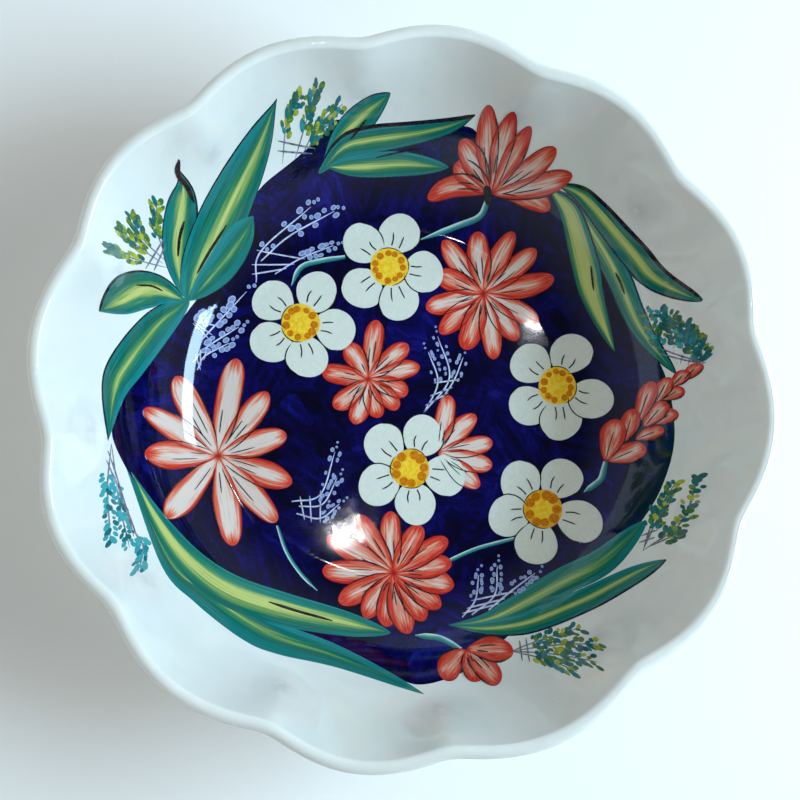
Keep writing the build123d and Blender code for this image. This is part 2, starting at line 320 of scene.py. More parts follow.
def mesh_object(name, points, faces, normals, tint, stroke=None):
    """An object from points in millimetres and the unit normals of the real surface there."""
    mesh = bpy.data.meshes.new(name)
    mesh.from_pydata((points * MM).tolist(), [], faces)
    mesh.update()
    corners = np.zeros(len(mesh.loops), int)
    mesh.loops.foreach_get("vertex_index", corners)
    if stroke is not None:
        layer = mesh.uv_layers.new(name="Stroke")
        layer.data.foreach_set("uv", np.asarray(stroke, np.float32)[corners].ravel())
    layer = mesh.attributes.new("tint", "FLOAT", "POINT")
    layer.data.foreach_set("value", np.asarray(tint, np.float32))
    mesh.shade_smooth()
    mesh.normals_split_custom_set_from_vertices(normals.tolist())
    return linked(name, mesh)


def lip_arc(inward, skin, count):
    """(radius, height, normal) along one side of the lip's round, from its crest down."""
    slope = 2 * WALL_RISE / REACH
    length = hypot(1, slope)
    centre_r = FLOOR_RADIUS + REACH + LIP_RADIUS * slope / length
    centre_z = FLOOR_TOP + WALL_RISE - LIP_RADIUS / length
    side = -1 if inward else 1
    last = atan2(-side, side * slope)
    radius = LIP_RADIUS - skin
    return [
        (centre_r + radius * cos(turn), centre_z + radius * sin(turn), cos(turn), sin(turn))
        for turn in np.linspace(pi / 2, last, count)
    ]


def wall_line(depth, facing, count):
    """(radius, height, normal) down the wall, depth below the inner face; facing is 1 inward, -1 outward."""
    found = []
    for radius in np.linspace(FLOOR_RADIUS + REACH, FLOOR_RADIUS, count):
        slope = 2 * WALL_RISE * (radius - FLOOR_RADIUS) / REACH**2
        length = hypot(1, slope)
        place = (radius + depth * slope / length, float(wall_height(radius)) - depth / length)
        found.append((*place, -facing * slope / length, facing / length))
    return found


def lip_and_wall(inward, skin):
    """The profile of one side of the bowl, from the lip's crest to the floor, this deep under its face."""
    depth, facing, count = (skin, 1, INNER_LIP_STEPS) if inward else (WALL - skin, -1, OUTER_LIP_STEPS)
    return lip_arc(inward, skin, count) + wall_line(depth, facing, WALL_STEPS)[1:]


def level(height, facing, radii):
    """A level stretch of a profile; facing is 1 up, -1 down."""
    return [(radius, height, 0, facing) for radius in radii]


def gathered(profile):
    """The outer coat's profile, with the glaze a little thicker under the lip."""
    found = []
    for radius, height, normal_r, normal_z in profile:
        depth = RUN_DEPTH * exp(-(((height - RUN_HEIGHT) / RUN_SPREAD) ** 2))
        found.append((radius + depth * normal_r, height + depth * normal_z, normal_r, normal_z))
    return found


def foot_corner(outward):
    """The pooled glaze where the foot meets the floor, and the coat's rolled end on the foot's side."""
    side = 1 if outward else -1
    low, high = (FOOT_FACE_OUTER, FOOT_TOP_OUTER) if outward else (FOOT_FACE_INNER, FOOT_TOP_INNER)
    lean = atan2(high - low, FOOT_HEIGHT) * side
    face = (side * cos(lean), -sin(lean))  # the side's outward normal
    centre_z = FOOT_HEIGHT - GLAZE - POOL_RADIUS
    gap = POOL_RADIUS + GLAZE + (centre_z - FOOT_HEIGHT) * sin(lean)
    centre_r = high + side * gap / cos(lean)
    first, last = (pi / 2, pi - lean) if outward else (pi / 2, lean)
    found = [
        (centre_r + POOL_RADIUS * cos(turn), centre_z + POOL_RADIUS * sin(turn), -cos(turn), -sin(turn))
        for turn in np.linspace(first, last, CORNER_STEPS)
    ]
    end_z = BARE_BAND + GLAZE
    end_r = low + (high - low) * end_z / FOOT_HEIGHT
    for turn in np.linspace(0, pi / 2, ROLL_STEPS):
        normal_r = face[0] * cos(turn) - side * sin(lean) * sin(turn)
        normal_z = face[1] * cos(turn) - cos(lean) * sin(turn)
        found.append((end_r + GLAZE * normal_r, end_z + GLAZE * normal_z, normal_r, normal_z))
    return found


def pressed(rings, turn):
    """Places and unit normals where rings, as (radius, height, normal), are turned and notched."""
    degrees, nudge = np.degrees(turn), 0.2
    share = notch_share(degrees)
    change = (notch_share(degrees + nudge) - notch_share(degrees - nudge)) / radians(2 * nudge)
    reach, height = rings[:, 0:1], rings[:, 1:2]
    depth = flute(height)
    steeper = (flute(height + 0.05) - flute(height - 0.05)) / 0.1
    radius = reach - depth * share
    # along the profile the tangent is (normal's height part, minus its radius part)
    run, rise = rings[:, 3:4], -rings[:, 2:3]
    normal_r, normal_turn = -rise + 0 * radius, -rise * depth * change / radius
    points = np.stack([radius * np.cos(turn), radius * np.sin(turn), height + 0 * radius], -1)
    normals = unit(np.stack([
        normal_r * np.cos(turn) - normal_turn * np.sin(turn),
        normal_r * np.sin(turn) + normal_turn * np.cos(turn),
        run - steeper * rise * share,
    ], -1))
    return points.reshape(-1, 3), normals.reshape(-1, 3)


def ring_faces(count, closed):
    """Quads from each ring to the next, and from the last to the first if the profile is closed."""
    faces = []
    for ring in range(count if closed else count - 1):
        here, there = ring * AROUND, (ring + 1) % count * AROUND
        for j in range(AROUND):
            k = (j + 1) % AROUND
            faces.append((here + j, there + j, there + k, here + k))
    return faces


def turned_skin(name, node, material, profile, notch_shaded=False):
    """A closed skin turned about the bowl's axis. Where its profile begins and ends on the axis, the skin
    closes in a fan at both ends."""
    profile = np.array(profile, float)
    capped = profile[0][0] < 1e-6
    rings = profile[1:-1] if capped else profile
    turn = circle(AROUND)
    points, normals = pressed(rings, turn)
    # painted shade: a grey patch in the glaze's colour below each notch, where the shadow of its dent falls
    nearness = np.exp(-(((rings[:, 1:2] - NOTCH_SHADE_HEIGHT) / NOTCH_SHADE_SPREAD) ** 2))
    painted_notch_shade = notch_shaded * (notch_share(np.degrees(turn)) ** NOTCH_SHADE_SHARPNESS * nearness).ravel()
    faces = ring_faces(len(rings), closed=not capped)
    if capped:
        top, last = len(points), len(points) - AROUND
        points = np.vstack([points, [[0, 0, profile[0][1]], [0, 0, profile[-1][1]]]])
        normals = np.vstack([normals, [[0, 0, profile[0][3]], [0, 0, profile[-1][3]]]])
        painted_notch_shade = np.append(painted_notch_shade, (0, 0))
        for j in range(AROUND):
            k = (j + 1) % AROUND
            faces.append((top, j, k))
            faces.append((top + 1, last + k, last + j))
    made = mesh_object(name, points, faces, normals, painted_notch_shade)
    finished(made, material, node)


# ======== brush strokes ========

def smooth(points, count, closed=False):
    """A Catmull-Rom curve through the points, as count places."""
    points = np.array(points, float)
    if closed:
        around = np.vstack([points[-1:], points, points[:2]])
    else:
        around = np.vstack([2 * points[0] - points[1], points, 2 * points[-1] - points[-2]])
    spans = len(around) - 3
    at = np.linspace(0, spans, count, endpoint=not closed)
    i = np.minimum(at.astype(int), spans - 1)
    t = (at - i)[:, None]
    a, b, c, d = (around[i + k] for k in range(4))
    return 0.5 * (2 * b + (c - a) * t + (2 * a - 5 * b + 4 * c - d) * t**2 + (3 * b - a - 3 * c + d) * t**3)


def heading(turn):
    """The unit direction in plan at this angle."""
    return np.array([cos(turn), sin(turn)])


def circle(sides):
    return np.linspace(0, 2 * pi, sides, endpoint=False)


def outline(centre, turn, along, across):
    """Places at these distances from the centre, along and across a direction."""
    return centre + np.outer(along, heading(turn)) + np.outer(across, heading(turn + pi / 2))


def leftward(line):
    """The unit normals to the left of a line in plan."""
    along = unit(np.gradient(line, axis=0))
    return np.stack([-along[:, 1], along[:, 0]], -1)


class Painting:
    """Brush strokes of one colour, each a thin closed sheet laid on the inside of the bowl."""

    def __init__(self):
        self.points, self.normals, self.stroke, self.tint, self.faces = [], [], [], [], []
        self.count = 0

    def lay(self, plan, faces, border, stroke, lift, tint):
        """Adds a sheet from its top in plan, the faces of that top, and its border in order."""
        x, y = plan[:, 0], plan[:, 1]
        normal = inside_normal(x, y)
        place = np.stack([x, y, inside_height(x, y)], -1)
        size, first = len(plan), self.count
        self.points += [place + normal * lift, place - normal * SUNK]
        self.normals += [normal, normal]
        self.stroke += [stroke, stroke]
        self.tint += [np.full(2 * size, tint)]
        self.faces += [tuple(first + i for i in face) for face in faces]
        self.faces += [tuple(first + size + i for i in reversed(face)) for face in faces]
        for a, b in zip(border, border[1:] + border[:1]):
            self.faces.append((first + a, first + size + a, first + size + b, first + b))
        self.count += 2 * size

    def strip(self, left, right, columns, lift, tint=0.0):
        """A stroke between two edges in plan. Its own coordinates are along and across it."""
        rows = len(left)
        across = np.linspace(0, 1, columns)
        plan = right[:, None] + (left - right)[:, None] * across[None, :, None]
        along = np.linspace(0, 1, rows)
        stroke = np.stack(np.broadcast_arrays(along[:, None], across[None, :]), -1)
        index = np.arange(rows * columns).reshape(rows, columns)
        faces = np.stack([index[:-1, :-1], index[1:, :-1], index[1:, 1:], index[:-1, 1:]], -1)
        border = [*index[:-1, 0], *index[-1, :-1], *index[:0:-1, -1], *index[0, :0:-1]]
        self.lay(plan.reshape(-1, 2), faces.reshape(-1, 4).tolist(), [int(i) for i in border],
                 stroke.reshape(-1, 2), lift, tint)

    def patch(self, edge, centre, rings, lift, tint=0.0):
        """A patch inside an edge. Its own coordinates are how far out and how far round."""
        size, centre = len(edge), np.array(centre, float)
        out = np.linspace(1, 0, rings, endpoint=False)
        plan = centre + (edge - centre)[None] * out[:, None, None]
        stroke = np.stack(np.broadcast_arrays(out[:, None], np.arange(size)[None] / size), -1)
        plan = np.vstack([plan.reshape(-1, 2), centre[None]])
        stroke = np.vstack([stroke.reshape(-1, 2), [[0, 0]]])
        faces, last = [], (rings - 1) * size
        for here in range(0, last, size):
            for j in range(size):
                k = (j + 1) % size
                faces.append((here + j, here + k, here + size + k, here + size + j))
        for j in range(size):
            faces.append((last + j, last + (j + 1) % size, last + size))
        self.lay(plan, faces, list(range(size)), stroke, lift, tint)

    def line(self, points, width, lift, count, taper=(0.25, 0.25)):
        """A thin brush line through the points. taper is the share of its width at its two ends."""
        middle = smooth(points, count)
        u = np.linspace(0, 1, count)
        start = taper[0] + TAPER_STEEPNESS * u * (1 - taper[0])
        end = taper[1] + TAPER_STEEPNESS * (1 - u) * (1 - taper[1])
        half = leftward(middle) * (width / 2 * np.minimum(1, np.minimum(start, end)))[:, None]
        self.strip(middle + half, middle - half, 3, lift)

    def dot(self, centre, radius, lift, turn=0.0, stretch=1.0, tint=0.0):
        """A dab: an ellipse stretched along its direction."""
        around = circle(DOT_MESH[0])
        ring = outline(centre, turn, radius * stretch * np.cos(around), radius * np.sin(around))
        self.patch(ring, centre, DOT_MESH[1], lift, tint)

    def piece(self, name, material, slot, node=None):
        """All the strokes laid so far, as one object."""
        made = mesh_object(name, np.vstack(self.points), self.faces, np.vstack(self.normals),
                           np.concatenate(self.tint), np.vstack(self.stroke))
        finished(made, material, node)


def finished(made, material, node=None):
    """Gives an object its material and its body, and hides the CAD node that it stands for, if any."""
    made.data.materials.append(material)
    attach(made, "root")
    if node:
        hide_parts(node)


def eased(count):
    """Places from 0 to 1, crowded at both ends so that round tips stay round."""
    return (1 - np.cos(np.linspace(0, pi, count))) / 2


def petal_edges(base, tip, width, bow, count, chance):
    """The two edges and the middle line of a petal, narrow at its base and widest past its middle."""
    base, tip = np.array(base, float), np.array(tip, float)
    across = unit(np.array([base[1] - tip[1], tip[0] - base[0]]))
    u = eased(count)
    middle = base + (tip - base) * u[:, None] + across * (4 * bow * u * (1 - u))[:, None]
    swell = u**0.85 * (1 - u) ** 0.52
    half = width / 2 * swell / swell.max()
    phase = chance.uniform(0, 2 * pi)
    half = np.maximum(half * (1 + 0.05 * np.sin(9 * u + phase)), 0.04)
    return middle + across * half[:, None], middle - across * half[:, None], middle


def leaf_edges(width, widest, spine, count):
    """The two edges of a leaf. widest is the share of its length where it is widest."""
    fine = smooth(spine, 400)
    places = (eased(count) * (len(fine) - 1)).astype(int)
    middle, side = fine[places], leftward(fine)[places]
    share = np.clip(places / (len(fine) - 1), 0, 1)
    rise, fall = LEAF_FULLNESS * widest, LEAF_FULLNESS * (1 - widest)
    swell = (share / widest) ** rise * ((1 - share) / (1 - widest)) ** fall
    half = np.maximum(width / 2 * swell, 0.05)[:, None]
    return middle + side * half, middle - side * half


# ======== materials ========

class Nodes:
    """A short way to write a node tree. Most methods add nodes and return their output."""

    def __init__(self, name, world=None):
        self.owner = world or bpy.data.materials.new(name)
        self.owner.use_nodes = True
        self.tree = self.owner.node_tree

    def put(self, socket, value):
        if isinstance(value, bpy.types.NodeSocket):
            self.tree.links.new(value, socket)
        else:
            socket.default_value = (*value, 1) if socket.type == "RGBA" else value

    def add(self, kind, inputs=(), **settings):
        node = self.tree.nodes.new(kind)
        for key, value in settings.items():
            setattr(node, key, value)
        for key, value in dict(inputs).items():
            self.put(node.inputs[key], value)
        return node

    def place(self):
        """Position in the part's own frame, in millimetres."""
        return self.scaled(self.add("ShaderNodeTexCoord").outputs["Object"], (1000, 1000, 1000))

    def stroke(self):
        """(along, across) a brush stroke, or (how far out, how far round) a patch."""
        both = self.add("ShaderNodeUVMap", uv_map="Stroke").outputs[0]
        return self.add("ShaderNodeSeparateXYZ", {0: both}).outputs[:2]

    def tint(self):
        return self.add("ShaderNodeAttribute", attribute_name="tint").outputs["Fac"]

    def scaled(self, vector, scale, shift=(0, 0, 0)):
        inputs = {"Vector": vector, "Scale": scale, "Location": shift}
        return self.add("ShaderNodeMapping", inputs).outputs[0]

    def math(self, operation, a, b=0.0):
        return self.add("ShaderNodeMath", {0: a, 1: b}, operation=operation).outputs[0]

    def times(self, a, b):
        return self.math("MULTIPLY", a, b)

    def plus(self, a, b):
        return self.math("ADD", a, b)

    def apart(self, a, b):
        return self.math("ABSOLUTE", self.math("SUBTRACT", a, b))

    def swayed(self, value, by, middle, amount):
        """The value, moved one way where by is above its middle and the other way below it."""
        return self.plus(value, self.times(self.math("SUBTRACT", by, middle), amount))

    def between(self, value, low, high, new_low=0.0, new_high=1.0):
        """Eases from new_low, where the value is low, to new_high, where it is high."""
        inputs = {0: value, 1: low, 2: high, 3: new_low, 4: new_high}
        return self.add("ShaderNodeMapRange", inputs, interpolation_type="SMOOTHSTEP").outputs[0]

    def noise(self, vector, scale, detail=3.0, roughness=0.55):
        inputs = {"Vector": vector, "Scale": scale, "Detail": detail, "Roughness": roughness}
        return self.add("ShaderNodeTexNoise", inputs).outputs[0]

    def streaks(self, stroke, along, across, seed=0.0, detail=3.0, roughness=0.55):
        """Bristle marks: noise with this many cells along and across the stroke."""
        inputs = {0: self.times(stroke[0], along), 1: self.times(stroke[1], across), 2: seed}
        return self.noise(self.add("ShaderNodeCombineXYZ", inputs).outputs[0], 1.0, detail, roughness)

    def mix(self, share, first, second):
        inputs = {"Factor": share, "A": first, "B": second}
        return self.add("ShaderNodeMix", inputs, data_type="RGBA").outputs["Result"]

    def coated(self, colour, *coats):
        """The colour with others over it, each as (where it lies, its strength, its colour)."""
        for mask, strength, coat in coats:
            colour = self.mix(self.times(mask, strength), colour, coat)
        return colour

    def drifting(self, value, low, high, first, second):
        """Eases from the first colour, where the value is low, to the second."""
        return self.mix(self.between(value, low, high), first, second)

    def ramp(self, value, *stops):
        """A colour ramp with these stops, as (place, colour)."""
        node = self.add("ShaderNodeValToRGB", {0: value})
        elements = node.color_ramp.elements
        while len(elements) < len(stops):
            elements.new(0.5)
        for element, (place, colour) in zip(elements, stops):
            element.position = place
            element.color = (*colour, 1)
        return node.outputs[0]

    def bump(self, height, strength, distance):
        inputs = {"Height": height, "Strength": strength, "Distance": distance}
        return self.add("ShaderNodeBump", inputs).outputs[0]

    def surface(self, colour, roughness, normal=None, ior=None):
        """Sets the surface's inputs, and returns the material."""
        inputs = {"Base Color": colour, "Roughness": roughness, "Normal": normal, "IOR": ior}
        for key, value in inputs.items():
            if value is not None:
                self.put(self.tree.nodes["Principled BSDF"].inputs[key], value)
        return self.owner


def glossy(nodes, colour, brushed=None):
    """The fired gloss that all the colours share: gently wavy, and a little duller in soft patches."""
    place = nodes.place()
    height = nodes.plus(nodes.noise(place, 0.035, 2.0), nodes.times(nodes.noise(place, 0.22, 2.0), 0.05))
    if brushed is not None:
        height = nodes.plus(height, nodes.times(brushed, 0.008))
    roughness = nodes.between(nodes.noise(place, 0.12), 0.3, 0.7, 0.035, 0.075)
    return nodes.surface(colour, roughness, nodes.bump(height, 0.12, 0.0012), GLAZE_IOR)


def clouded(name, scale, low, first, second):
    """A glossy colour that drifts between two shades over the bowl."""
    nodes = Nodes(name)
    cloud = nodes.noise(nodes.place(), scale, 3)
    return glossy(nodes, nodes.drifting(cloud, low, 0.7, first, second), cloud)


def white_glaze():
    nodes = Nodes("white_glaze")
    place = nodes.place()
    colour = nodes.drifting(nodes.noise(place, 0.03), 0.3, 0.7, (0.78, 0.82, 0.80), (0.83, 0.855, 0.835))
    pooled = nodes.between(nodes.noise(place, 0.11, 4), 0.55, 0.8)
    speck = nodes.add("ShaderNodeTexVoronoi", {"Vector": place, "Scale": 0.09}, feature="F1")
    chosen = nodes.add("ShaderNodeSeparateColor", {0: speck.outputs["Color"]}).outputs[0]
    near = nodes.between(speck.outputs["Distance"], 0.012, 0.03, 1, 0)
    specks = nodes.times(near, nodes.between(chosen, 0.8, 0.82))
    # painted shade: grey patches in the glaze's colour where the notches begin, standing in for the shadows
    # of their dents
    painted_notch_shade = nodes.times(nodes.tint(), nodes.between(nodes.noise(place, 0.25, 3), 0.2, 0.6))
    # the glaze thins on the very edge of the rim, and the buff clay warms it
    height = nodes.add("ShaderNodeSeparateXYZ", {0: place}).outputs[2]
    height = nodes.plus(height, nodes.times(nodes.noise(place, 0.2), 1.2))
    colour = nodes.coated(
        colour, (pooled, 0.35, (0.70, 0.77, 0.76)), (specks, 0.5, (0.30, 0.26, 0.22)),
        (painted_notch_shade, 0.4, (0.38, 0.42, 0.46)), (nodes.between(height, 84.1, 84.9), 0.2, (0.62, 0.55, 0.47)),
    )
    return glossy(nodes, colour)


def bare_clay():
    nodes = Nodes("bare_clay")
    place = nodes.place()
    grain = nodes.noise(place, 2.2, 8, 0.7)
    colour = nodes.drifting(grain, 0.35, 0.65, (0.70, 0.59, 0.46), (0.84, 0.76, 0.65))
    dark = nodes.between(nodes.noise(place, 0.35, 5), 0.55, 0.75)
    colour = nodes.coated(colour, (dark, 0.4, (0.58, 0.46, 0.34)))
    roughness = nodes.between(grain, 0.3, 0.7, 0.75, 0.92)
    return nodes.surface(colour, roughness, nodes.bump(grain, 0.6, 0.0002))


def brush_dabs(nodes, place, scale, shift):
    """Streaks that run a different way in each dab of the brush, and how loaded it was."""
    where = nodes.scaled(place, (scale, scale, scale), shift)
    wobble = nodes.add("ShaderNodeTexNoise", {"Vector": where, "Scale": 1.6, "Detail": 2.0}).outputs["Color"]
    bent = nodes.add("ShaderNodeVectorMath", {0: where, 1: wobble}, operation="ADD").outputs[0]
    cell = nodes.add("ShaderNodeTexVoronoi", {"Vector": bent, "Scale": 1.0}, feature="F1")
    random = nodes.add("ShaderNodeSeparateColor", {0: cell.outputs["Color"]})
    turn = nodes.times(random.outputs[0], 2 * pi)
    spun = nodes.add("ShaderNodeVectorRotate", {"Vector": where, "Angle": turn}, rotation_type="Z_AXIS")
    return nodes.noise(nodes.scaled(spun.outputs[0], (0.9, 6.0, 1.0)), 1.0), random.outputs[1]


def cobalt_brushwork():
    nodes = Nodes("cobalt_brushwork")
    place = nodes.place()
    broad, load = brush_dabs(nodes, place, 0.055, (3.1, 1.7, 0))
    fine, _ = brush_dabs(nodes, place, 0.11, (7.3, 4.9, 0))
    depth = nodes.plus(nodes.times(broad, 0.66), nodes.times(fine, 0.34))
    depth = nodes.swayed(depth, load, 0.5, 0.12)
    depth = nodes.swayed(depth, nodes.noise(place, 0.028, 3), 0.5, 0.6)
    colour = nodes.ramp(
        depth, (0.34, (0.0014, 0.0011, 0.011)), (0.49, (0.0018, 0.0015, 0.036)),
        (0.62, (0.0030, 0.0027, 0.085)), (0.78, (0.009, 0.011, 0.20)),
    )
    return glossy(nodes, colour, depth)


def leaf_green():
    """Yellow along the middle, then green, with turquoise on one side, as the brush was loaded."""
    nodes = Nodes("leaf_green")
    u, v = stroke = nodes.stroke()
    tint = nodes.tint()
    streaks = nodes.streaks(stroke, 3.0, 12.0, tint, 5, 0.7)
    fine = nodes.streaks(stroke, 5.0, 45.0, tint, 3, 0.6)
    drift = nodes.streaks((u, tint), 2.0, 1.0, detail=1)
    middle = nodes.plus(nodes.times(v, 2.0), nodes.times(drift, 0.8))
    off = nodes.apart(middle, 1.4)
    ends = nodes.math("POWER", nodes.apart(nodes.times(u, 2.0), 0.95), 2.5)
    band = nodes.plus(off, nodes.times(ends, 0.75))
    band = nodes.swayed(band, nodes.math("FRACT", tint), 0.45, -0.75)
    band = nodes.swayed(band, streaks, 0.5, 0.9)
    colour = nodes.ramp(
        band, (0.10, (0.54, 0.60, 0.19)), (0.27, (0.20, 0.35, 0.10)), (0.42, (0.020, 0.20, 0.10)),
        (0.68, (0.006, 0.12, 0.09)), (0.92, (0.006, 0.18, 0.17)),
    )
    cool = nodes.times(nodes.between(v, 0.55, 1.0), nodes.between(streaks, 0.35, 0.6))
    light, dark = nodes.between(fine, 0.55, 0.75), nodes.between(fine, 0.42, 0.25)
    colour = nodes.coated(
        colour, (cool, 0.65, (0.010, 0.27, 0.31)), (light, 0.4, (0.10, 0.42, 0.34)),
        (dark, 0.55, (0.003, 0.045, 0.045)),
    )
    return glossy(nodes, colour, streaks)


def coral_petal():
    """Pale along the middle and red at the sides, the tip and the root, with a thin dark outline."""
    nodes = Nodes("coral_petal")
    u, v = stroke = nodes.stroke()
    tint = nodes.tint()
    streaks = nodes.streaks(stroke, 3.0, 9.0, tint, 4, 0.6)
    fine = nodes.streaks(stroke, 4.0, 34.0, tint, 3, 0.6)
    off = nodes.apart(nodes.times(v, 2.0), 1.0)
    root = nodes.times(nodes.between(u, 0.30, 0.0), 0.95)
    ends = nodes.math("MAXIMUM", nodes.between(u, 0.62, 1.0), root)
    red = nodes.math("MAXIMUM", nodes.math("POWER", off, 1.8), ends)
    red = nodes.swayed(red, streaks, 0.45, 1.5)
    red = nodes.swayed(red, nodes.math("FRACT", tint), 0.40, -0.6)
    colour = nodes.ramp(
        red, (0.10, (0.72, 0.61, 0.56)), (0.28, (0.73, 0.33, 0.24)), (0.48, (0.70, 0.125, 0.070)),
        (0.75, (0.60, 0.026, 0.012)),
    )
    light, dark = nodes.between(fine, 0.52, 0.72), nodes.between(fine, 0.44, 0.28)
    lined = nodes.times(nodes.between(off, 0.84, 0.97), nodes.between(fine, 0.30, 0.55, 0.3, 1.0))
    colour = nodes.coated(
        colour, (light, 0.4, (0.72, 0.56, 0.50)), (dark, 0.35, (0.50, 0.07, 0.04)),
        (nodes.between(u, 0.20, 0.04), 0.9, (0.34, 0.010, 0.006)), (lined, 0.75, (0.20, 0.008, 0.006)),
    )
    return glossy(nodes, colour, streaks)


def daisy_white():
    nodes = Nodes("daisy_white")
    stroke = nodes.stroke()
    streaks = nodes.streaks(stroke, 3.0, 26.0, nodes.tint())
    colour = nodes.drifting(streaks, 0.3, 0.7, (0.66, 0.70, 0.64), (0.72, 0.75, 0.69))
    colour = nodes.coated(colour, (nodes.between(stroke[0], 0.93, 1.0), 0.25, (0.52, 0.62, 0.62)))
    return glossy(nodes, colour, streaks)


def disc_yellow():
    nodes = Nodes("disc_yellow")
    out, _ = nodes.stroke()
    cloud = nodes.noise(nodes.place(), 0.55, 3)
    colour = nodes.drifting(cloud, 0.35, 0.65, (0.88, 0.50, 0.012), (0.93, 0.66, 0.06))
    worn = nodes.swayed(out, cloud, 0.5, 0.5)
    ring = nodes.times(nodes.between(worn, 0.45, 0.75), nodes.math("FRACT", nodes.tint()))
    colour = nodes.coated(colour, (ring, 0.5, (0.70, 0.27, 0.010)))
    return glossy(nodes, colour, cloud)


def stem_teal():
    nodes = Nodes("stem_teal")
    stroke = nodes.stroke()
    streaks = nodes.streaks(stroke, 5.0, 5.0)
    side = nodes.swayed(stroke[1], streaks, 0.5, 0.5)
    colour = nodes.ramp(
        side, (0.15, (0.015, 0.16, 0.17)), (0.55, (0.06, 0.32, 0.33)), (0.85, (0.55, 0.72, 0.70))
    )
    return glossy(nodes, colour, streaks)


def sprig_dot():
    nodes = Nodes("sprig_dot")
    out, _ = nodes.stroke()
    return glossy(nodes, nodes.drifting(out, 0.55, 0.9, (0.20, 0.27, 0.55), (0.40, 0.48, 0.74)))


def sprig_green():
    nodes = Nodes("sprig_green")
    cloud = nodes.noise(nodes.place(), 0.5, 3)
    tone = nodes.swayed(nodes.tint(), cloud, 0.5, 0.5)
    colour = nodes.ramp(
        tone, (0.0, (0.05, 0.38, 0.42)), (0.22, (0.012, 0.17, 0.21)), (0.52, (0.012, 0.12, 0.11)),
        (0.74, (0.08, 0.20, 0.03)), (1.0, (0.46, 0.50, 0.04)),
    )
    return glossy(nodes, colour, cloud)


# ======== the bowl's pieces ========

def inner_coat(material):
    floor = np.linspace(FLOOR_RADIUS, 0, FLOOR_STEPS)[1:]
    shown = lip_and_wall(True, 0) + level(FLOOR_TOP, 1, floor)
    hidden = lip_and_wall(True, GLAZE) + level(FLOOR_TOP - GLAZE, 1, floor)
    # the inner coat carries the shade painted below the notches
    turned_skin("inner_glaze_coat", "inner_glaze", material, shown[::-1] + hidden, notch_shaded=True)


def outer_coat(material):
    corner = foot_corner(True)
    shown = gathered(lip_and_wall(False, 0))
    shown += level(FOOT_HEIGHT - GLAZE, -1, np.linspace(FLOOR_RADIUS, corner[0][0], 6)[1:-1]) + corner
    hidden = lip_and_wall(False, GLAZE)
    hidden += level(FOOT_HEIGHT, -1, np.linspace(FLOOR_RADIUS, FOOT_TOP_OUTER, 6)[1:])
    turned_skin("outer_glaze_coat", "outer_glaze", material, shown + hidden[::-1])


def base_coat(material):
    corner = foot_corner(False)
    shown = level(FOOT_HEIGHT - GLAZE, -1, np.linspace(0, corner[0][0], 16)[:-1]) + corner
    hidden = level(FOOT_HEIGHT, 1, np.linspace(0, FOOT_TOP_INNER, 8))
    turned_skin("base_glaze_coat", "base_glaze", material, hidden + shown[::-1])


def clay():
    material = bare_clay()
    for name in ("clay_body", "foot_ring"):
        node = frame["nodes"][name]
        node.data.materials.clear()
        node.data.materials.append(material)


def ground():
    painting = Painting()
    edge = smooth(GROUND_OUTLINE, GROUND_MESH[0], closed=True)
    painting.patch(edge, GROUND_CENTRE, GROUND_MESH[1], GROUND_LIFT)
    painting.piece("cobalt_brushwork", cobalt_brushwork(), "cobalt_colour", "cobalt_ground")


def leaves(liner):
    material = leaf_green()
    for number, (width, widest, yellow, left_line, right_line, spine) in enumerate(LEAVES, 1):
        painting = Painting()
        left, right = leaf_edges(width, widest, spine, LEAF_MESH[0])
        lift = LEAF_LIFT + LEAF_RISE * (number % 5)
        painting.strip(left, right, LEAF_MESH[1], lift, number + SHARE_LIMIT * yellow)
        painting.piece(f"leaf_{number:02d}", material, "green_colour", "green_leaves")
        for edge, line in ((left, left_line), (right, right_line)):
            if line:
                liner.line(edge[6:-1:4], line, lift + LEAF_RISE / 2, 40, taper=(0.1, 0.4))


def free_strokes(liner):
    for points, width in LINER_STROKES:
        liner.line(points, width, LINER_LIFT, 14)


def bloom_petals(painting, liner, centre, pale, width, petals, chance):
    """Narrow petals about a centre, each with a dark line at its right and often some inside."""
    for order, (turn, length, *bows) in enumerate(petals):
        tip = np.array(centre) + heading(radians(turn)) * length
        width_here = width * chance.uniform(0.92, 1.08)
        bow = sum(bows) + chance.uniform(-0.5, 0.5)
        left, right, middle = petal_edges(centre, tip, width_here, bow, PETAL_MESH[0], chance)
        share = min(max(pale + chance.uniform(-0.2, 0.3), 0.02), 0.97)
        painting.strip(left, right, PETAL_MESH[1], CORAL_LIFT + STROKE_RISE * order, order + share)
        liner.line(right[6:-5:3], 0.4, LINER_LIFT, 16)
        for shift in (-0.12, 0.14):
            if chance.uniform() < 0.75:
                first = chance.randint(7, 10)
                inner = middle + (left - right) * shift
                liner.line(inner[first:first + chance.randint(5, 9):2], 0.35, LINER_LIFT, 8)


def bloom_spike(painting, liner, chance):
    """Buds that overlap up a stem, each lined down its right side and its middle."""
    for order, (base, tip, width) in enumerate(SPIKE):
        left, right, middle = petal_edges(base, tip, width, 0.0, BUD_MESH[0], chance)
        tint = order + chance.uniform(0.02, 0.25)
        painting.strip(left, right, BUD_MESH[1], CORAL_LIFT + STROKE_RISE * order, tint)
        liner.line(right[4:-4:3], 0.35, LINER_LIFT, 12)
        liner.line(middle[4:13:2], 0.3, LINER_LIFT, 8)


def blooms(liner):
    material = coral_petal()
    chance = np.random.RandomState(5)
    for number, bloom in enumerate(BLOOMS, 1):
        painting = Painting()
        bloom_petals(painting, liner, *bloom, chance)
        painting.piece(f"bloom_{number}", material, "coral_colour", "coral_blooms")
    painting = Painting()
    bloom_spike(painting, liner, chance)
    painting.piece("bloom_spike", material, "coral_colour", "coral_blooms")


